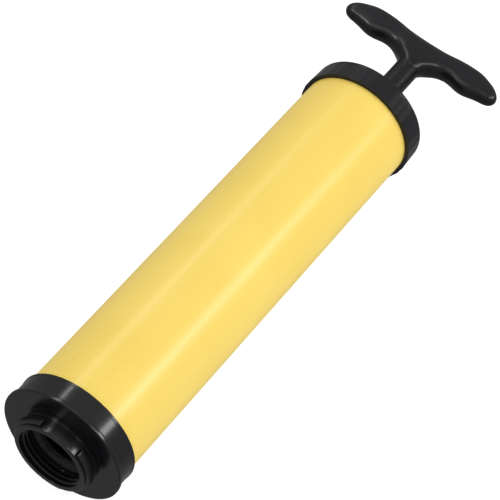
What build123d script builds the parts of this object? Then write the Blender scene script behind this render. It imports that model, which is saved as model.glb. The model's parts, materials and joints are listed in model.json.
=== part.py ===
"""Double action hand pump with a T handle: one STEP file for each physical piece.

Frame: millimetres. The origin is the centre of the outlet's mouth, +X runs along the pump towards
the handle, the T handle's arms lie along Y, and +Z is up. Everything is at rest, pushed right in.
"""

import math
import os

from build123d import *

# Sizes that more than one piece shares: x is the distance from the outlet's mouth, r is a radius
BARREL_R = 26.0  # outside of the yellow tube
BARREL_BORE_R = 24.5
BARREL_START_X = 13.3
BARREL_END_X = 224.2

LINER_R = 20.4  # outside of the inner cylinder that the piston runs in
LINER_BORE_R = 19.2
LINER_START_X = 20.0
LINER_END_X = 212.0

FRONT_FACE_X = 7.7  # front of the front cap's flat face
FRONT_RIM_X = 18.5  # back edge of the front cap
FLANGE_R = 25.9  # every flange that is clamped between a cap and the tube
HEAD_R = 24.4  # both heads, a sliding fit in the tube

COLLAR_R = 17.0  # outlet collar
THREAD_ROOT_R = 14.6
THREAD_CREST_R = 13.95
THREAD_PITCH = 2.0
THREAD_END_X = 6.6  # a plain land follows, and then the gasket's seat
OUTLET_LAND_R = 14.4
OUTLET_SEAT_X = 8.0

REAR_RIM_X = 218.3  # front edge of the rear cap
REAR_FACE_X = 228.9  # back of the rear cap's flat face
REAR_BOSS_X = 233.9  # back of the rear cap's small boss
REAR_CAP_FRONT_R = 28.0
REAR_CAP_BACK_R = 27.5
GRIP_FLUTES = 32

ROD_R = 5.7
ROD_BORE_R = 3.7
PISTON_FACE_X = 25.5  # front of the piston
PISTON_R = 18.9
ROD_END_X = 262.0  # where the rod meets the handle

SLIP = 0.02  # gap between two turned faces that are fixed together
O_RING_R = 0.72  # radius of an O-ring's section
O_RING_SEAT_R = 17.7  # bottom of an O-ring's groove

# Sections across one half of the T handle's bar, as (y, front x, rear x)
BAR_SECTIONS = [
    (0.0, 266.4, 281.3),
    (5.0, 266.4, 281.4),
    (8.0, 266.9, 281.6),
    (11.0, 268.7, 281.9),
    (14.0, 269.9, 282.5),
    (17.0, 270.2, 283.0),
    (20.0, 269.5, 283.35),
    (23.0, 268.8, 283.5),
    (26.0, 268.7, 283.5),
    (29.0, 269.4, 283.2),
    (32.0, 270.2, 282.2),
    (35.0, 270.6, 281.0),
    (37.6, 271.0, 279.5),
    (39.2, 271.7, 278.1),
    (40.4, 272.9, 276.8),
    (41.0, 274.0, 275.6),
]
BAR_HALF_THICKNESS = 5.6  # at the middle
BAR_TIP_HALF_THICKNESS = 3.8
BAR_TIP_Y = 37.1  # where a tip starts to close like a ball
BAR_TIP_REACH = 3.95

# Sections of the web that widens the neck into the bar, as (x, half width)
WEB_SECTIONS = [(262.6, 5.68), (264.4, 6.2), (266.2, 7.6), (268.2, 10.0), (270.6, 12.8)]


def turned(*corners):
    """A solid of revolution about the X axis, from its section's (x, radius) corners."""
    section = make_face(Polyline(*corners, close=True))
    return revolve(section, Axis.X)


def ring(start_x, end_x, inner_r, outer_r):
    """A plain ring about the X axis."""
    return turned((start_x, inner_r), (end_x, inner_r), (end_x, outer_r), (start_x, outer_r))


def disc(start_x, end_x, outer_r):
    """A plain disc about the X axis."""
    return turned((start_x, 0), (end_x, 0), (end_x, outer_r), (start_x, outer_r))


def o_ring(centre_x, centre_r):
    """An O-ring about the X axis."""
    return Pos(centre_x, 0, 0) * Rot(0, 90, 0) * Torus(centre_r, O_RING_R)


def around(shape, count, start_angle=0.0):
    """Copies of a shape, spaced evenly about the X axis."""
    return [Rot(start_angle + 360.0 * i / count, 0, 0) * shape for i in range(count)]


def axial_holes(start_x, end_x, circle_r, hole_r, count):
    """Cutters for holes along X, on a circle."""
    depth = end_x - start_x
    hole = Pos((start_x + end_x) / 2, circle_r, 0) * Rot(0, 90, 0) * Cylinder(hole_r, depth)
    return around(hole, count)


def radial_holes(centre_x, reach_r, hole_r, count, start_angle=0.0):
    """Cutters for holes that run outwards from the axis."""
    hole = Pos(centre_x, 0, reach_r / 2) * Cylinder(hole_r, reach_r)
    return around(hole, count, start_angle)


# ---- the fixed body: barrel, front end and rear end ----


def make_barrel():
    """The yellow outer tube, with its ends broken by small chamfers."""
    chamfer_size = 0.3
    return turned(
        (BARREL_START_X, BARREL_BORE_R),
        (BARREL_END_X, BARREL_BORE_R),
        (BARREL_END_X, BARREL_R - chamfer_size),
        (BARREL_END_X - chamfer_size, BARREL_R),
        (BARREL_START_X + chamfer_size, BARREL_R),
        (BARREL_START_X, BARREL_R - chamfer_size),
    )


def make_liner():
    """The inner cylinder. Holes near its back lead the air behind the piston out to the duct."""
    liner = ring(LINER_START_X, LINER_END_X, LINER_BORE_R, LINER_R)
    return liner - radial_holes(201.5, LINER_R + 1, 1.8, 8)


def make_front_cap():
    """The glossy front cap: a proud front lip, a plain band and a thin bead at the back edge."""
    lip_r = 28.0
    band_r = 27.15
    bead_r = 27.4
    return turned(
        (FRONT_FACE_X, COLLAR_R + 0.1),
        (FRONT_FACE_X, lip_r - 0.35),
        (FRONT_FACE_X + 0.35, lip_r),
        (FRONT_FACE_X + 1.4, lip_r),
        (FRONT_FACE_X + 2.2, band_r),
        (FRONT_RIM_X - 1.2, band_r),
        (FRONT_RIM_X - 1.0, bead_r),
        (FRONT_RIM_X - 0.2, bead_r),
        (FRONT_RIM_X, bead_r - 0.2),
        (FRONT_RIM_X, BARREL_R + SLIP),
        (9.5, BARREL_R + SLIP),
        (9.5, COLLAR_R + 0.1),
    )


def make_thread_ridge(start_x, turns):
    """The raised helix of the outlet's female thread."""
    root_r = THREAD_ROOT_R + 0.1
    path = Helix(pitch=THREAD_PITCH, height=THREAD_PITCH * turns, radius=root_r, direction=(1, 0, 0))
    start = path @ 0
    inwards = Vector(0, -start.Y, -start.Z).normalized()
    depth = root_r - THREAD_CREST_R + 0.05
    half_root = 0.32 * THREAD_PITCH
    half_crest = 0.11 * THREAD_PITCH
    section = [
        start + Vector(-half_root, 0, 0),
        start + Vector(-half_crest, 0, 0) + inwards * depth,
        start + Vector(half_crest, 0, 0) + inwards * depth,
        start + Vector(half_root, 0, 0),
    ]
    ridge = sweep(make_face(Polyline(*section, close=True)), path=path, is_frenet=True)
    return Pos(start_x, 0, 0) * ridge


def make_lug(centre_angle):
    """One raised pad on the collar, 60 degrees wide."""
    start_x = 0.8
    end_x = 4.2
    pad = ring(start_x, end_x, COLLAR_R - 0.5, 18.5)
    side_a = Rot(centre_angle + 30, 0, 0) * Pos(0, 0, 25) * Box(60, 60, 50)
    side_b = Rot(centre_angle + 150, 0, 0) * Pos(0, 0, 25) * Box(60, 60, 50)
    return pad - side_a - side_b


def make_outlet_socket():
    """The outlet: a threaded collar with three lugs and a low shoulder, on a flange behind the front cap."""
    socket = turned(
        (0.15, THREAD_ROOT_R),
        (0.0, THREAD_ROOT_R + 0.15),
        (0.0, COLLAR_R - 0.5),
        (0.5, COLLAR_R),
        (5.7, COLLAR_R),
        (5.9, COLLAR_R + 0.7),
        (7.6, COLLAR_R + 0.7),
        (7.6, COLLAR_R),
        (9.5, COLLAR_R),
        (9.5, FLANGE_R),
        (11.0, FLANGE_R),
        (11.0, 10.5),
        (9.5, 10.5),
        (9.5, 14.8),
        (OUTLET_SEAT_X, 14.8),
        (OUTLET_SEAT_X, OUTLET_LAND_R),
        (THREAD_END_X, OUTLET_LAND_R),
        (THREAD_END_X, THREAD_ROOT_R),
    )
    for centre_angle in (37, 157, 277):
        socket += make_lug(centre_angle)
    socket += make_thread_ridge(start_x=1.3, turns=2.3)
    return socket - disc(0.5, OUTLET_SEAT_X, THREAD_CREST_R)


def make_socket_gasket():
    """The soft washer at the bottom of the outlet."""
    return ring(OUTLET_SEAT_X, 9.5, 10.6, 14.6)


def make_front_head():
    """The front head: a valve chamber in front, two rings of valve ports and a spigot for the liner."""
    body = turned(
        (11.0, 23.5),
        (14.8, 23.5),
        (14.8, 23.2),
        (17.3, 23.2),
        (17.3, 0.0),
        (20.0, 0.0),
        (20.0, 16.5),
        (24.0, 16.5),
        (24.0, 19.1),
        (23.0, 19.1),
        (23.0, O_RING_SEAT_R),
        (21.2, O_RING_SEAT_R),
        (21.2, 19.1),
        (20.0, 19.1),
        (20.0, HEAD_R),
        (12.5, HEAD_R),
        (12.5, FLANGE_R),
        (11.0, FLANGE_R),
    )
    body -= axial_holes(17.0, 20.5, 7.8, 2.2, 6)
    body -= axial_holes(17.0, 20.5, 21.8, 1.1, 18)
    return body - disc(17.0, 18.5, 2.05)


def make_valve_keeper():
    """The windowed plate that holds both outlet valves in their chamber, with a guide pin."""
    plate = turned(
        (13.2, 0.0),
        (13.2, 21.6),
        (11.0, 21.6),
        (11.0, 23.4),
        (14.8, 23.4),
        (14.8, 2.0),
        (18.3, 2.0),
        (18.3, 0.0),
    )
    return plate - axial_holes(13.0, 15.0, 15.3, 2.8, 8)


def make_front_gasket():
    """The flat gasket between the front head's flange and the tube."""
    return ring(12.5, BARREL_START_X, BARREL_BORE_R, 25.95)


def make_front_bumper():
    """The soft ring that the piston meets when the handle is pushed in."""
    return ring(24.0, 25.2, 16.6, 18.8)


def make_rear_head():
    """The rear head: it closes the liner and the duct and carries the rod's seal."""
    body = turned(
        (206.0, 5.95),
        (216.0, 5.95),
        (216.0, 8.6),
        (226.5, 8.6),
        (226.5, 11.0),
        (214.5, 11.0),
        (214.5, 22.9),
        (226.5, 22.9),
        (226.5, FLANGE_R),
        (225.0, FLANGE_R),
        (225.0, HEAD_R),
        (212.0, HEAD_R),
        (212.0, 19.1),
        (209.8, 19.1),
        (209.8, O_RING_SEAT_R),
        (208.0, O_RING_SEAT_R),
        (208.0, 19.1),
        (206.0, 19.1),
    )
    web = Pos(220.3, 16.95, 0) * Box(11.8, 12.6, 1.6)
    for stiffener in around(web, 6, start_angle=30):
        body += stiffener
    return body


def make_rear_gasket():
    """The flat gasket between the tube's back end and the rear head's flange."""
    return ring(BARREL_END_X, 225.0, BARREL_BORE_R, 25.95)


def make_rear_bumper():
    """The soft ring that stops the piston when the handle is pulled right out."""
    return ring(203.1, 206.0, 6.1, 8.8)


def make_rod_seal():
    """The rod's seal, with a shallow lip groove in its pressure side."""
    return turned(
        (216.0, ROD_R + SLIP),
        (219.5, ROD_R + SLIP),
        (219.5, 8.58),
        (216.0, 8.58),
        (216.0, 7.7),
        (217.6, 7.3),
        (217.6, 7.0),
        (216.0, 6.6),
    )


def make_seal_washer():
    """The washer between the rod's seal and its bush."""
    return ring(219.5, 220.7, 5.95, 8.55)


def make_rod_bush():
    """The plastic bush that guides the rod."""
    return ring(220.7, 232.3, ROD_R + 0.06, 8.55)


def make_rear_cap():
    """The rear cap: a slight taper, a sharp back rim, shallow grip flutes and a small boss round the rod."""
    edge = 0.3
    cap = turned(
        (REAR_RIM_X, BARREL_R + SLIP),
        (REAR_RIM_X, REAR_CAP_FRONT_R - edge),
        (REAR_RIM_X + edge, REAR_CAP_FRONT_R),
        (REAR_FACE_X - edge, REAR_CAP_BACK_R),
        (REAR_FACE_X, REAR_CAP_BACK_R - edge),
        (REAR_FACE_X, 10.9),
        (REAR_FACE_X + edge, 10.6),
        (REAR_BOSS_X - 0.5, 10.6),
        (REAR_BOSS_X, 10.1),
        (REAR_BOSS_X, 5.95),
        (232.3, 5.95),
        (232.3, 8.6),
        (226.5, 8.6),
        (226.5, BARREL_R + SLIP),
    )
    flute_r = 4.2
    flute_depth = 0.25
    start_x = REAR_RIM_X - 2
    end_x = REAR_FACE_X - 1.3
    middle_r = (REAR_CAP_FRONT_R + REAR_CAP_BACK_R) / 2
    taper = math.degrees(math.atan2(REAR_CAP_FRONT_R - REAR_CAP_BACK_R, REAR_FACE_X - REAR_RIM_X))
    flute = Rot(0, 90 + taper, 0) * Cylinder(flute_r, end_x - start_x)
    flute = Pos((start_x + end_x) / 2, 0, middle_r - flute_depth + flute_r) * flute
    return cap - around(flute, GRIP_FLUTES)


# ---- the moving body: rod, piston and handle ----


def make_rod():
    """The hollow rod. It draws air in beside the handle and lets it out inside the piston."""
    neck_r = 5.2
    shoulder_x = 43.5
    rod = turned(
        (29.0, ROD_BORE_R),
        (29.0, neck_r),
        (shoulder_x, neck_r),
        (shoulder_x, ROD_R),
        (ROD_END_X, ROD_R),
        (ROD_END_X, ROD_BORE_R),
    )
    rod -= radial_holes(35.0, ROD_R + 1, 1.3, 4)
    rod -= radial_holes(241.5, ROD_R + 1, 1.6, 4, start_angle=45)
    pin_hole = Pos(255.0, 0, -ROD_R / 2 - 1) * Cylinder(1.25 + SLIP, ROD_R + 2)
    return rod - pin_hole


def make_rod_plug():
    """The threaded plug in the rod's front end, which takes the piston's bolt."""
    return turned(
        (29.0, 1.62),
        (33.2, 1.62),
        (33.2, 0.0),
        (34.5, 0.0),
        (34.5, 2.6),
        (33.5, ROD_BORE_R - SLIP),
        (29.0, ROD_BORE_R - SLIP),
    )


def make_piston_plate():
    """The piston's front plate, with its inlet ports."""
    plate = turned(
        (PISTON_FACE_X, 1.7),
        (PISTON_FACE_X, PISTON_R - 0.3),
        (PISTON_FACE_X + 0.3, PISTON_R),
        (29.0, PISTON_R),
        (29.0, 1.7),
    )
    return plate - axial_holes(25.0, 29.5, 8.6, 1.8, 6)


def make_piston_body():
    """The piston: a seal groove, an air chamber, a ported back wall and a hub for the rod."""
    body = turned(
        (29.0, 14.5),
        (29.0, 16.4),
        (32.6, 16.4),
        (32.6, PISTON_R),
        (39.5, PISTON_R),
        (39.5, 8.0),
        (41.9, 8.0),
        (41.9, 7.6),
        (42.9, 7.6),
        (42.9, 8.0),
        (45.0, 8.0),
        (45.0, ROD_R + SLIP),
        (43.5, ROD_R + SLIP),
        (43.5, 5.2 + SLIP),
        (36.5, 5.2 + SLIP),
        (36.5, 14.5),
    )
    return body - axial_holes(36.0, 40.0, 11.6, 1.6, 6)


def make_piston_seal():
    """The ring that seals the piston in the liner, with a rounded running face."""
    return turned(
        (29.1, 16.45),
        (32.5, 16.45),
        (32.5, 18.8),
        (31.7, 19.17),
        (29.9, 19.17),
        (29.1, 18.8),
    )


def make_piston_bolt():
    """The bolt through the piston, with a hexagon socket in its round head."""
    bolt = turned(
        (20.6, 0.0),
        (20.6, 2.9),
        (20.9, 3.2),
        (22.4, 3.2),
        (22.4, 1.6),
        (33.0, 1.6),
        (33.0, 0.0),
    )
    socket = Pos(21.1, 0, 0) * Rot(0, 90, 0) * extrude(RegularPolygon(1.4, 6), 1.0, both=True)
    return bolt - socket


def make_flap_stop():
    """The shouldered spacer that guides the front flap and limits its lift."""
    return turned((22.4, 1.7), (22.4, 6.0), (23.3, 6.0), (23.3, 2.4), (25.5, 2.4), (25.5, 1.7))


def make_piston_flap_front():
    """The inlet flap on the front of the piston."""
    return ring(24.5, 25.5, 2.6, 12.0)


def make_piston_flap_rear():
    """The inlet flap on the back of the piston."""
    return ring(39.5, 40.5, 8.3, 15.0)


def make_flap_keeper():
    """The clip in the hub's groove that limits the rear flap's lift."""
    return ring(41.9, 42.9, 7.62, 10.5)


def make_outlet_valve_disc():
    """The valve over the front chamber's ports."""
    return ring(16.1, 17.3, 2.15, 11.5)


def make_duct_valve_ring():
    """The ring valve over the duct's ports."""
    return ring(16.3, 17.3, 20.2, 23.1)


def bar_half_thickness(y):
    """The bar thins towards its tips, and each tip closes like a ball."""
    share = min(1.0, y / BAR_TIP_Y) ** 1.6
    thickness = BAR_HALF_THICKNESS + (BAR_TIP_HALF_THICKNESS - BAR_HALF_THICKNESS) * share
    past = max(0.0, y - BAR_TIP_Y) / BAR_TIP_REACH
    return thickness * math.sqrt(1 - past**2)


def bar_section(y, front_x, rear_x):
    """A nearly oval section across the handle's bar."""
    half_width = (rear_x - front_x) / 2
    half_height = bar_half_thickness(abs(y))
    corner = 0.9 * min(half_width, half_height)
    plane = Plane(origin=(front_x + half_width, y, 0), x_dir=(1, 0, 0), z_dir=(0, 1, 0))
    return plane * RectangleRounded(2 * half_width, 2 * half_height, corner)


def web_section(x, half_width):
    """A section across the web, round at the neck and flatter as it widens."""
    height = 2 * BAR_HALF_THICKNESS - 0.02
    plane = Plane(origin=(x, 0, 0), x_dir=(0, 1, 0), z_dir=(1, 0, 0))
    return plane * RectangleRounded(2 * half_width, height, 0.49 * height)


def make_handle():
    """The T handle: an oval bar with finger grooves and ball tips, a web, a round neck and a spigot."""
    mirrored = [(-y, front_x, rear_x) for y, front_x, rear_x in reversed(BAR_SECTIONS[1:])]
    bar = loft([bar_section(*section) for section in mirrored + BAR_SECTIONS])
    web = loft([web_section(*section) for section in WEB_SECTIONS])
    neck = disc(ROD_END_X, 270.0, ROD_R - 0.15)
    spigot = disc(248.0, 263.0, ROD_BORE_R - SLIP)
    handle = bar + web + neck + spigot
    pin_hole = Pos(255.0, 0, -1.35) * Cylinder(1.25 + SLIP, 8.7)
    return handle - pin_hole


def make_handle_pin():
    """The blind pin that locks the handle's spigot into the rod."""
    return Pos(255.0, 0, -1.3) * Cylinder(1.25, 8.6)


PIECES = {
    "barrel": make_barrel,
    "liner": make_liner,
    "front_cap": make_front_cap,
    "outlet_socket": make_outlet_socket,
    "socket_gasket": make_socket_gasket,
    "front_head": make_front_head,
    "valve_keeper": make_valve_keeper,
    "front_gasket": make_front_gasket,
    "front_bumper": make_front_bumper,
    "rear_head": make_rear_head,
    "rear_gasket": make_rear_gasket,
    "rear_bumper": make_rear_bumper,
    "rod_seal": make_rod_seal,
    "seal_washer": make_seal_washer,
    "rod_bush": make_rod_bush,
    "rear_cap": make_rear_cap,
    "rod": make_rod,
    "rod_plug": make_rod_plug,
    "piston_plate": make_piston_plate,
    "piston_body": make_piston_body,
    "piston_seal": make_piston_seal,
    "piston_bolt": make_piston_bolt,
    "flap_stop": make_flap_stop,
    "piston_flap_front": make_piston_flap_front,
    "piston_flap_rear": make_piston_flap_rear,
    "flap_keeper": make_flap_keeper,
    "outlet_valve_disc": make_outlet_valve_disc,
    "duct_valve_ring": make_duct_valve_ring,
    "handle": make_handle,
    "handle_pin": make_handle_pin,
}

os.makedirs("parts", exist_ok=True)
for name, make in PIECES.items():
    export_step(make(), f"parts/{name}.step")
export_step(o_ring(22.1, O_RING_SEAT_R + 0.76), "parts/liner_seal_front.step")
export_step(o_ring(208.9, O_RING_SEAT_R + 0.76), "parts/liner_seal_rear.step")
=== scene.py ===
"""Looks for the double action hand pump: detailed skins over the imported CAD, materials, light and camera."""

import json
import math

import bmesh
import bpy
from mathutils import Euler, Matrix, Vector


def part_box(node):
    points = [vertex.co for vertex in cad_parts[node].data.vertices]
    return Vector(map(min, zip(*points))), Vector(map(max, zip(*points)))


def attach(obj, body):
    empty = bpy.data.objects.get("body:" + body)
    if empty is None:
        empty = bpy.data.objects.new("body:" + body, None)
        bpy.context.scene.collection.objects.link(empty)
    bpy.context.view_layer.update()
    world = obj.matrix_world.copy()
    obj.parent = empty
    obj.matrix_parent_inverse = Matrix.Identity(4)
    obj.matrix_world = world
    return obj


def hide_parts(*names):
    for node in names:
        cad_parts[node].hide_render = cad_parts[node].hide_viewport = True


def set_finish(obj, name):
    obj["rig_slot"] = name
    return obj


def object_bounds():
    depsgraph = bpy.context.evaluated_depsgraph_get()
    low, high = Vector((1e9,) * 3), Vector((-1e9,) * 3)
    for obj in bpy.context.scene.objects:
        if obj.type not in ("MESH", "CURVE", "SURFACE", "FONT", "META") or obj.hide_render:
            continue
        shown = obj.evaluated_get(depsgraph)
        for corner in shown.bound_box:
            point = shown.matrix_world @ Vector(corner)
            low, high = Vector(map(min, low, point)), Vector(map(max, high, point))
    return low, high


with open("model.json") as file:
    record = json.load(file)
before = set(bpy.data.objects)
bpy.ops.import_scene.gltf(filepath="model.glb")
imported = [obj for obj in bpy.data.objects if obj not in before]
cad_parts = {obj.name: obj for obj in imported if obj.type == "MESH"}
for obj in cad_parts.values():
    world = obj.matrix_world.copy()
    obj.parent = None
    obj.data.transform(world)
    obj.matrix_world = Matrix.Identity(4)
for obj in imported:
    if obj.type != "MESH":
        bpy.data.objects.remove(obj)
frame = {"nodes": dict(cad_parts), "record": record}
cad_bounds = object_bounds()
NODES = frame["nodes"]
MM = 0.001


def cad_span(node):
    """Where a CAD node starts and ends along X, and how high it reaches over the axis, in mm."""
    low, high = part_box(node)
    return low.x / MM, high.x / MM, high.z / MM


# ---- sizes shared by the skins, in mm: x along the pump's axis, r out from it ----

BARREL_R = cad_span("barrel")[2]
FRONT_FACE_X, FRONT_RIM_X, LIP_R = cad_span("front_cap")
OUTLET_X, FLANGE_BACK_X, FLANGE_R = cad_span("outlet_socket")
FLANGE_X = FLANGE_BACK_X - 1.5  # front of the outlet's flange, where the front cap rests on it
REAR_RIM_X, REAR_BOSS_X = cad_span("rear_cap")[:2]
REAR_FACE_X = REAR_BOSS_X - 5.0  # the rear cap's flat back, which its boss stands on
SKIRT_R = BARREL_R + 0.03  # inside of both caps, just clear of the barrel
COLLAR_R = 17.0
THREAD_ROOT_R = 14.6
THREAD_CREST_R = 13.95
THREAD_PITCH = 2.0
GRIP_FLUTES = 32


# ---- mesh helpers ----


def new_object(name, bm, body, slot, *replaced):
    """Turns a bmesh into a piece that rides on a body, smooth over its roundings and flat on its faces."""
    sharp_angle = math.radians(35)
    bmesh.ops.recalc_face_normals(bm, faces=bm.faces)
    mesh = bpy.data.meshes.new(name)
    bm.to_mesh(mesh)
    bm.free()
    mesh.shade_smooth()
    mesh.set_sharp_from_angle(angle=sharp_angle)
    obj = bpy.data.objects.new(name, mesh)
    bpy.context.scene.collection.objects.link(obj)
    normals = obj.modifiers.new("normals", "WEIGHTED_NORMAL")
    normals.keep_sharp = True
    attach(obj, body)
    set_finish(obj, slot)
    if replaced:
        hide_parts(*replaced)
    return obj


def rounded(corners, steps=4):
    """A closed (x, radius) section whose corners, given as (x, r, rounding), become small arcs, in mm."""
    points = []
    count = len(corners)
    for i in range(count):
        here = Vector(corners[i][:2])
        rounding = corners[i][2]
        if rounding == 0:
            points.append(here)
            continue
        before = (Vector(corners[i - 1][:2]) - here).normalized()
        after = (Vector(corners[(i + 1) % count][:2]) - here).normalized()
        half_angle = before.angle(after) / 2
        reach = rounding / math.tan(half_angle)
        centre = here + (before + after).normalized() * rounding / math.sin(half_angle)
        start = here + before * reach - centre
        end = here + after * reach - centre
        first = math.atan2(start.y, start.x)
        sweep = (math.atan2(end.y, end.x) - first + math.pi) % (2 * math.pi) - math.pi
        for k in range(steps + 1):
            angle = first + sweep * k / steps
            points.append(centre + rounding * Vector((math.cos(angle), math.sin(angle))))
    return points


def add_point(bm, x, r, angle):
    """A point x along the axis and r out from it, in mm, at an angle from +Y towards +Z, in radians."""
    return bm.verts.new((x * MM, r * math.cos(angle) * MM, r * math.sin(angle) * MM))


def bridge(bm, one, other):
    """A band of faces between two closed loops of points."""
    count = len(one)
    for i in range(count):
        j = (i + 1) % count
        bm.faces.new((one[i], one[j], other[j], other[i]))


def lathe(bm, section, segments, shape=None):
    """Turns a closed section about X. shape(x, r, angle) may change a point's radius. All in mm."""
    rings = []
    for point in section:
        ring = []
        for i in range(segments):
            angle = 2 * math.pi * i / segments
            r = shape(point.x, point.y, angle) if shape else point.y
            ring.append(add_point(bm, point.x, r, angle))
        rings.append(ring)
    for i, ring in enumerate(rings):
        bridge(bm, ring, rings[(i + 1) % len(rings)])


def loft(bm, loops):
    """Joins closed loops of points one after another, and closes both ends."""
    for one, other in zip(loops, loops[1:]):
        bridge(bm, one, other)
    bm.faces.new(loops[0])
    bm.faces.new(loops[-1])


# ---- geometry: caps, outlet and handle ----


def make_front_cap():
    """The front cap: a proud lip, a slightly flared band and a thin bead at the back edge."""
    hole_r = COLLAR_R + 0.1
    band_front_r = 27.05
    band_back_r = 27.2
    bead_r = 27.4
    section = rounded(
        [
            (FRONT_FACE_X, hole_r, 0.1),
            (FRONT_FACE_X, LIP_R, 0.55),
            (FRONT_FACE_X + 1.6, LIP_R, 0.45),
            (FRONT_FACE_X + 2.2, band_front_r, 0.5),
            (FRONT_RIM_X - 1.4, band_back_r, 0.1),
            (FRONT_RIM_X - 1.15, bead_r, 0.12),
            (FRONT_RIM_X, bead_r, 0.28),
            (FRONT_RIM_X, SKIRT_R, 0.1),
            (FLANGE_X, SKIRT_R, 0.0),
            (FLANGE_X, hole_r, 0.0),
        ]
    )
    bm = bmesh.new()
    lathe(bm, section, segments=192)
    return new_object("front_cap_skin", bm, "barrel", "black_gloss", "front_cap")


def add_lug(bm, centre_angle, half_width):
    """A raised pad with rounded edges on the collar. Both angles are in degrees."""
    start_x = OUTLET_X + 0.8
    end_x = OUTLET_X + 4.2
    inner_r = COLLAR_R - 0.4
    outer_r = COLLAR_R + 1.5
    edge = 0.35
    divisions = 24
    across = rounded(
        [
            (start_x, inner_r, 0.0),
            (start_x, outer_r, edge),
            (end_x, outer_r, edge),
            (end_x, inner_r, 0.0),
        ]
    )
    insets = [math.degrees(edge * part / outer_r) for part in (0.0, 0.12, 0.3, 0.55, 1.0)]
    offsets = [-half_width + inset for inset in insets]
    offsets += [-half_width + half_width * 2 * k / divisions for k in range(1, divisions)]
    offsets += [half_width - inset for inset in reversed(insets)]
    loops = []
    for offset in offsets:
        from_end = min(offset + half_width, half_width - offset)
        reach = min(1.0, math.radians(from_end) * outer_r / edge)
        drop = edge * (1 - math.sqrt(max(0.0, 1 - (1 - reach) ** 2)))
        angle = math.radians(centre_angle + offset)
        loop = []
        for point in across:
            x = min(max(point.x, start_x + drop), end_x - drop)
            r = min(point.y, outer_r - drop)
            loop.append(add_point(bm, x, r, angle))
        loops.append(loop)
    loft(bm, loops)


def add_thread(bm, start_x, turns):
    """The outlet's raised helix. It fades in and out over its first and last eighth of a turn."""
    steps_per_turn = 96
    fades_per_turn = 8
    least_height = 0.02
    foot_r = THREAD_ROOT_R + 0.1
    profile = [(-0.62, 0.0), (-0.3, 0.72), (-0.12, 1.0), (0.12, 1.0), (0.3, 0.72), (0.62, 0.0)]
    steps = int(turns * steps_per_turn)
    loops = []
    for i in range(steps + 1):
        turn = turns * i / steps
        fade = min(1.0, turn * fades_per_turn, (turns - turn) * fades_per_turn)
        height = (foot_r - THREAD_CREST_R) * max(fade, least_height)
        angle = 2 * math.pi * turn + math.pi / 2
        x = start_x + THREAD_PITCH * turn
        loops.append([add_point(bm, x + along, foot_r - height * up, angle) for along, up in profile])
    loft(bm, loops)


def make_outlet_socket():
    """The threaded outlet collar with its three lugs, on the flange behind the front cap."""
    mouth_x = OUTLET_X + 0.01
    shoulder_x = 5.7
    shoulder_end_x = 7.6
    shoulder_r = COLLAR_R + 0.7
    thread_end_x = 6.6
    land_r = 14.4
    seat_x = 8.0
    seat_r = 14.8
    port_r = 10.5
    section = rounded(
        [
            (mouth_x, THREAD_ROOT_R, 0.15),
            (mouth_x, COLLAR_R, 0.45),
            (shoulder_x, COLLAR_R, 0.0),
            (shoulder_x, shoulder_r, 0.22),
            (shoulder_end_x, shoulder_r, 0.1),
            (shoulder_end_x, COLLAR_R, 0.0),
            (FLANGE_X, COLLAR_R, 0.0),
            (FLANGE_X, FLANGE_R, 0.0),
            (FLANGE_BACK_X, FLANGE_R, 0.0),
            (FLANGE_BACK_X, port_r, 0.2),
            (FLANGE_X, port_r, 0.2),
            (FLANGE_X, seat_r, 0.0),
            (seat_x, seat_r, 0.0),
            (seat_x, land_r, 0.1),
            (thread_end_x, land_r, 0.1),
            (thread_end_x, THREAD_ROOT_R, 0.0),
        ]
    )
    bm = bmesh.new()
    lathe(bm, section, segments=144)
    for centre_angle in (37, 157, 277):
        add_lug(bm, centre_angle, half_width=30)
    add_thread(bm, start_x=OUTLET_X + 1.3, turns=2.3)
    return new_object("outlet_skin", bm, "barrel", "black_gloss", "outlet_socket")


def rear_grip(x, r, angle):
    """The rear cap's shallow flutes, on its outer wall only. They fade out before its back rim."""
    wall_least_r = 27.0
    depth = 0.16
    fade_end_x = REAR_FACE_X - 0.9
    fade_length = 0.7
    if r < wall_least_r:
        return r
    fade = min(1.0, max(0.0, (fade_end_x - x) / fade_length))
    return r - depth * fade * (1 - math.cos(GRIP_FLUTES * angle)) / 2


def make_rear_cap():
    """The rear cap: a slight taper, shallow grip flutes, a sharp back rim and a small boss round the rod."""
    front_r = 28.0
    back_r = 27.5
    boss_r = 10.6
    rod_hole_r = 5.95
    pocket_r = 8.6
    face_ring_r = 24.0  # keeps the shading of the flat back apart from its rim
    pocket_x = REAR_FACE_X - 2.4
    pocket_end_x = REAR_BOSS_X - 1.6
    slope = (back_r - front_r) / (REAR_FACE_X - REAR_RIM_X)
    ring_distances = (7.9, 3.9, 2.1, 1.7, 1.3, 0.9)  # closer together where the flutes fade out
    wall_xs = [REAR_FACE_X - distance for distance in ring_distances]
    wall = [(x, front_r + slope * (x - REAR_RIM_X), 0.0) for x in wall_xs]
    section = rounded(
        [
            (REAR_RIM_X, SKIRT_R, 0.0),
            (REAR_RIM_X, front_r, 0.12),
            *wall,
            (REAR_FACE_X, back_r, 0.25),
            (REAR_FACE_X, face_ring_r, 0.0),
            (REAR_FACE_X, boss_r, 0.4),
            (REAR_BOSS_X, boss_r, 0.5),
            (REAR_BOSS_X, rod_hole_r, 0.15),
            (pocket_end_x, rod_hole_r, 0.0),
            (pocket_end_x, pocket_r, 0.0),
            (pocket_x, pocket_r, 0.0),
            (pocket_x, SKIRT_R, 0.0),
        ]
    )
    bm = bmesh.new()
    lathe(bm, section, segments=12 * GRIP_FLUTES, shape=rear_grip)
    return new_object("rear_cap_skin", bm, "barrel", "black_satin", "rear_cap")


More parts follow.
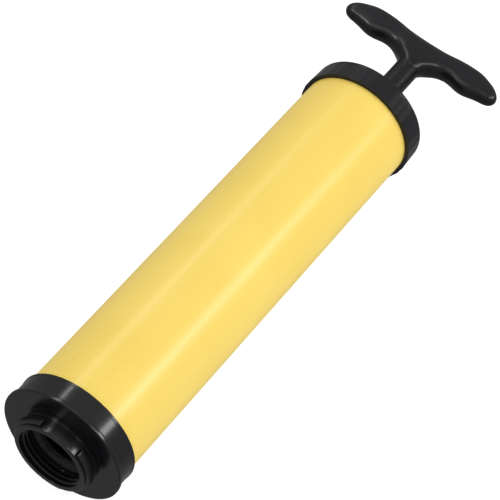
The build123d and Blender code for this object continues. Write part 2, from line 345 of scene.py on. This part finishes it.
def make_handle():
    """The T handle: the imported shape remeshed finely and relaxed, so its web and edges flow together."""
    cell = 0.4 * MM
    passes = 90
    bm = bmesh.new()
    bm.from_mesh(NODES["handle"].data)
    obj = new_object("handle_skin", bm, "rod", "black_satin")
    obj.matrix_world = NODES["handle"].matrix_world.copy()
    merge = obj.modifiers.new("merge", "REMESH")
    merge.mode = "VOXEL"
    merge.voxel_size = cell
    relax = obj.modifiers.new("relax", "SMOOTH")
    relax.factor = 0.5
    relax.iterations = passes
    bpy.context.view_layer.update()
    depsgraph = bpy.context.evaluated_depsgraph_get()
    finished = bpy.data.meshes.new_from_object(obj.evaluated_get(depsgraph))
    obj.modifiers.clear()
    obj.data = finished
    finished.shade_smooth()
    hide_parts("handle")
    return obj


# ---- materials: noise scales are per metre, colours are linear ----


class Recipe:
    """A node material with one principled shader, and short ways to add nodes to it."""

    def __init__(self, name):
        self.material = bpy.data.materials.new(name)
        self.material.use_nodes = True
        self.tree = self.material.node_tree
        self.shader = self.tree.nodes["Principled BSDF"]
        self.place = self.add("ShaderNodeTexCoord").outputs["Object"]

    def add(self, kind, **values):
        node = self.tree.nodes.new(kind)
        for key, value in values.items():
            setattr(node, key, value)
        return node

    def link(self, source, target):
        self.tree.links.new(source, target)

    def stretched(self, scale):
        """Object coordinates scaled by a vector, for grain that runs one way."""
        mapping = self.add("ShaderNodeMapping")
        mapping.inputs["Scale"].default_value = scale
        self.link(self.place, mapping.inputs["Vector"])
        return mapping.outputs["Vector"]

    def noise(self, scale, detail=3.0, roughness=0.5, vector=None):
        node = self.add("ShaderNodeTexNoise")
        node.inputs["Scale"].default_value = scale
        node.inputs["Detail"].default_value = detail
        node.inputs["Roughness"].default_value = roughness
        self.link(vector or self.place, node.inputs["Vector"])
        return node.outputs["Fac"]

    def ramp(self, source, span, result=(0.0, 1.0)):
        """Maps a value from one span to another, clamped."""
        node = self.add("ShaderNodeMapRange")
        for name, value in zip(("From Min", "From Max", "To Min", "To Max"), (*span, *result)):
            node.inputs[name].default_value = value
        self.link(source, node.inputs["Value"])
        return node.outputs["Result"]

    def math(self, operation, *values):
        node = self.add("ShaderNodeMath", operation=operation)
        for socket, value in zip(node.inputs, values):
            if isinstance(value, (int, float)):
                socket.default_value = value
            else:
                self.link(value, socket)
        return node.outputs["Value"]

    def plus(self, a, b):
        return self.math("ADD", a, b)

    def times(self, a, b):
        return self.math("MULTIPLY", a, b)

    def mix(self, amount, one, other):
        """Mixes two colours, each a tuple or a socket."""
        node = self.add("ShaderNodeMix", data_type="RGBA")
        self.link(amount, node.inputs["Factor"])
        for socket, value in ((node.inputs[6], one), (node.inputs[7], other)):
            if isinstance(value, tuple):
                socket.default_value = (*value, 1.0)
            else:
                self.link(value, socket)
        return node.outputs[2]

    def colour(self, source):
        self.link(source, self.shader.inputs["Base Color"])

    def roughness(self, source):
        self.link(source, self.shader.inputs["Roughness"])

    def relief(self, height, strength, depth):
        """Bumps the surface by a height, whose full range is a depth in mm."""
        node = self.add("ShaderNodeBump")
        node.inputs["Strength"].default_value = strength
        node.inputs["Distance"].default_value = depth * MM
        self.link(height, node.inputs["Height"])
        self.link(node.outputs["Normal"], self.shader.inputs["Normal"])


WORN_BLACK = (0.03, 0.031, 0.034)


def yellow_plastic():
    """Extruded satin yellow plastic: faint drawing lines along the tube and a fine orange peel."""
    deep = (0.860, 0.628, 0.125)
    light = (0.884, 0.656, 0.142)
    scuffed = (0.86, 0.70, 0.30)
    m = Recipe("yellow_barrel")
    lines = m.noise(900, roughness=0.6, vector=m.stretched((0.02, 1.0, 1.0)))
    cloud = m.noise(28)
    peel = m.noise(1400, detail=2)
    scratches = m.noise(260, detail=5, roughness=0.7, vector=m.stretched((0.25, 1.0, 1.0)))
    scuff = m.ramp(scratches, (0.7, 0.85))
    base = m.mix(m.ramp(cloud, (0.35, 0.65)), deep, light)
    m.colour(m.mix(m.times(scuff, 0.06), base, scuffed))
    grain = m.ramp(lines, (0.3, 0.7), (-0.02, 0.02))
    m.roughness(m.plus(m.times(scuff, 0.08), m.plus(grain, 0.29)))
    height = m.plus(m.times(lines, 0.35), m.times(peel, 0.65))
    m.relief(height, strength=0.08, depth=0.04)
    m.shader.inputs["Specular IOR Level"].default_value = 0.3
    return m.material


def gloss_black():
    """Moulded glossy black plastic with a fine grain, faint flow marks and light wear."""
    deep = (0.0036, 0.0037, 0.0046)
    light = (0.0056, 0.0058, 0.0072)
    m = Recipe("black_gloss")
    flow = m.noise(45, detail=4, roughness=0.55)
    fine = m.noise(1600, roughness=0.6)
    wear = m.ramp(m.noise(420, detail=6, roughness=0.7), (0.62, 0.8))
    base = m.mix(m.ramp(flow, (0.3, 0.7)), deep, light)
    m.colour(m.mix(m.times(wear, 0.35), base, WORN_BLACK))
    m.roughness(m.plus(m.ramp(flow, (0.3, 0.7), (0.17, 0.21)), m.times(wear, 0.10)))
    m.relief(fine, strength=0.07, depth=0.05)
    m.shader.inputs["Specular IOR Level"].default_value = 0.35
    return m.material


def satin_black():
    """Moulded satin black plastic with a fine spark-eroded grain and slightly paler high spots."""
    deep = (0.0040, 0.0041, 0.0054)
    light = (0.0064, 0.0066, 0.0088)
    m = Recipe("black_satin")
    grain = m.noise(2200, roughness=0.65)
    coarse = m.noise(380, detail=4, roughness=0.6)
    cloud = m.noise(40)
    base = m.mix(m.ramp(cloud, (0.3, 0.7)), deep, light)
    m.colour(m.mix(m.ramp(coarse, (0.6, 0.8), (0.0, 0.12)), base, WORN_BLACK))
    m.roughness(m.plus(m.ramp(cloud, (0.3, 0.7), (0.27, 0.32)), m.ramp(coarse, (0.3, 0.7), (-0.015, 0.02))))
    height = m.plus(m.times(grain, 0.9), m.times(coarse, 0.1))
    m.relief(height, strength=0.05, depth=0.03)
    m.shader.inputs["Specular IOR Level"].default_value = 0.27
    return m.material


def natural_plastic():
    """Matte off-white moulded plastic for the hidden parts."""
    deep = (0.70, 0.68, 0.61)
    light = (0.80, 0.785, 0.73)
    m = Recipe("white_plastic")
    cloud = m.noise(60, detail=4, roughness=0.55)
    grain = m.noise(1800, roughness=0.6)
    m.colour(m.mix(m.ramp(cloud, (0.3, 0.7)), deep, light))
    m.roughness(m.ramp(grain, (0.3, 0.7), (0.42, 0.56)))
    m.relief(grain, strength=0.10, depth=0.06)
    return m.material


def rubber(name, dark, light):
    """Matte rubber with a powdery bloom."""
    m = Recipe(name)
    bloom = m.noise(150, detail=5, roughness=0.65)
    grain = m.noise(2400, roughness=0.6)
    m.colour(m.mix(m.ramp(bloom, (0.4, 0.75)), dark, light))
    m.roughness(m.ramp(bloom, (0.3, 0.7), (0.62, 0.82)))
    m.relief(grain, strength=0.25, depth=0.06)
    return m.material


def turned_steel():
    """Bright steel with fine turning lines round the pump's axis."""
    deep = (0.50, 0.50, 0.49)
    light = (0.62, 0.62, 0.61)
    m = Recipe("steel")
    lines = m.noise(700, detail=4, roughness=0.6, vector=m.stretched((4.0, 0.3, 0.3)))
    cloud = m.noise(120)
    m.colour(m.mix(m.ramp(cloud, (0.3, 0.7)), deep, light))
    m.roughness(m.ramp(lines, (0.3, 0.7), (0.22, 0.40)))
    m.relief(lines, strength=0.15, depth=0.05)
    m.shader.inputs["Metallic"].default_value = 1.0
    return m.material


def floor_material():
    """A pale studio floor that glows evenly, but for a soft-edged patch under the barrel that barely glows: a
    painted contact shadow.
    """
    painted_shadow_y = 0.007
    painted_shadow_half_width = (0.012, 0.026)  # from its middle to where its edge starts and where it ends
    painted_shadow_half_length = (0.100, 0.112)
    glow = (0.05, 0.86)  # inside the patch and outside it
    m = Recipe("pale_floor")
    cloud = m.noise(6)
    m.colour(m.mix(m.ramp(cloud, (0.3, 0.7)), (0.34, 0.34, 0.34), (0.37, 0.37, 0.37)))
    m.roughness(m.ramp(cloud, (0.3, 0.7), (0.85, 0.95)))
    split = m.add("ShaderNodeSeparateXYZ")
    m.link(m.place, split.inputs["Vector"])
    across = m.math("ABSOLUTE", m.math("SUBTRACT", split.outputs["Y"], painted_shadow_y))
    along = m.math("ABSOLUTE", split.outputs["X"])
    # the floor glows only clear of the patch, so the patch paints a contact shadow under the barrel
    clear = m.math("MAXIMUM", m.ramp(across, painted_shadow_half_width), m.ramp(along, painted_shadow_half_length))
    m.link(m.ramp(clear, (0.0, 1.0), glow), m.shader.inputs["Emission Strength"])
    m.shader.inputs["Emission Color"].default_value = (1.0, 1.0, 1.0, 1.0)
    return m.material


def dress(obj, material):
    """Gives a piece a single material."""
    obj.data.materials.clear()
    obj.data.materials.append(material)


def dress_everything(skins):
    """One material for each slot, on the new skins and on every CAD node. The rod shares the satin black."""
    by_slot = {
        "yellow_barrel": yellow_plastic(),
        "black_gloss": gloss_black(),
        "black_satin": satin_black(),
        "white_plastic": natural_plastic(),
        "black_rubber": rubber("black_rubber", (0.012, 0.012, 0.012), (0.03, 0.03, 0.03)),
        "brown_rubber": rubber("brown_rubber", (0.10, 0.042, 0.018), (0.17, 0.08, 0.04)),
        "steel": turned_steel(),
    }
    by_slot["rod_satin"] = by_slot["black_satin"]
    for entry in frame["record"]["subparts"]:
        dress(NODES[entry["node"]], by_slot[entry["material_slot"]])
    for skin in skins:
        dress(skin, by_slot[skin["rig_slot"]])


# ---- stage: floor, light and camera, in metres ----


def make_floor():
    """A wide pale floor just under the pump. It doesn't show in reflections."""
    half_size = 3.0
    middle_x = 0.14
    gap = 0.2 * MM
    bm = bmesh.new()
    bmesh.ops.create_grid(bm, x_segments=8, y_segments=8, size=half_size)
    mesh = bpy.data.meshes.new("floor")
    bm.to_mesh(mesh)
    bm.free()
    floor = bpy.data.objects.new("floor", mesh)
    floor.location = (middle_x, 0.0, cad_bounds[0][2] - gap)
    floor.visible_glossy = False
    bpy.context.scene.collection.objects.link(floor)
    dress(floor, floor_material())


def soft_box(name, angle, width, length, power, centre_x=0.70, only_mirrored=False):
    """A soft box along the pump, at an angle in degrees from +Y towards +Z, facing the pump's axis.

    One that is only mirrored lights no matte surface and shows only in reflections.
    """
    distance = 1.3
    light = bpy.data.lights.new(name, "AREA")
    light.shape = "RECTANGLE"
    light.size = length
    light.size_y = width
    light.energy = power
    obj = bpy.data.objects.new(name, light)
    turn = math.radians(angle)
    obj.location = (centre_x, distance * math.cos(turn), distance * math.sin(turn))
    obj.rotation_euler = Euler((turn - math.pi / 2, 0, 0))
    obj.visible_diffuse = not only_mirrored
    bpy.context.scene.collection.objects.link(obj)


def make_lights():
    """Two long strips for the barrel's bands of light, a broad fill, and two cards for the handle's edges."""
    soft_box("strip_left", 52, width=0.08, length=0.9, power=2.9)
    soft_box("strip_right", 140, width=0.25, length=0.9, power=7.6)
    soft_box("fill_top", 80, width=0.6, length=0.9, power=2.8, centre_x=-0.3)
    soft_box("card_left", 50, width=0.2, length=0.5, power=6.5, centre_x=-0.40, only_mirrored=True)
    soft_box("card_right", 126, width=0.3, length=0.7, power=5.3, centre_x=0.05, only_mirrored=True)


def make_world():
    """A white surround that is brighter overhead than low down."""
    low_z, high_z = -0.4, 1.0
    low_strength, high_strength = 0.3, 0.8
    world = bpy.data.worlds.new("studio")
    world.use_nodes = True
    nodes = world.node_tree.nodes
    place = nodes.new("ShaderNodeTexCoord")
    split = nodes.new("ShaderNodeSeparateXYZ")
    strength = nodes.new("ShaderNodeMapRange")
    strength.inputs["From Min"].default_value = low_z
    strength.inputs["From Max"].default_value = high_z
    strength.inputs["To Min"].default_value = low_strength
    strength.inputs["To Max"].default_value = high_strength
    world.node_tree.links.new(place.outputs["Generated"], split.inputs["Vector"])
    world.node_tree.links.new(split.outputs["Z"], strength.inputs["Value"])
    world.node_tree.links.new(strength.outputs["Result"], nodes["Background"].inputs["Strength"])
    nodes["Background"].inputs["Color"].default_value = (1.0, 1.0, 1.0, 1.0)
    bpy.context.scene.world = world


def make_camera():
    """The camera at the reference view: from the outlet's end, above, and rolled to stand the pump up."""
    place = Vector((-0.3719, -0.1917, 0.7318))
    heading = math.radians(-69.498)  # about the vertical
    tilt = math.radians(36.375)  # up from looking straight down
    roll = math.radians(17.529)  # about the line of sight
    data = bpy.data.cameras.new("camera")
    data.lens = 157.2
    data.sensor_width = 36.0
    data.clip_end = 20.0
    camera = bpy.data.objects.new("camera", data)
    turn = Matrix.Rotation(heading, 4, "Z") @ Matrix.Rotation(tilt, 4, "X") @ Matrix.Rotation(roll, 4, "Z")
    camera.matrix_world = Matrix.Translation(place) @ turn
    bpy.context.scene.collection.objects.link(camera)
    bpy.context.scene.camera = camera


skins = [make_front_cap(), make_outlet_socket(), make_rear_cap(), make_handle()]
dress_everything(skins)
make_floor()
make_lights()
make_world()
make_camera()
bpy.context.scene.view_settings.view_transform = "Standard"
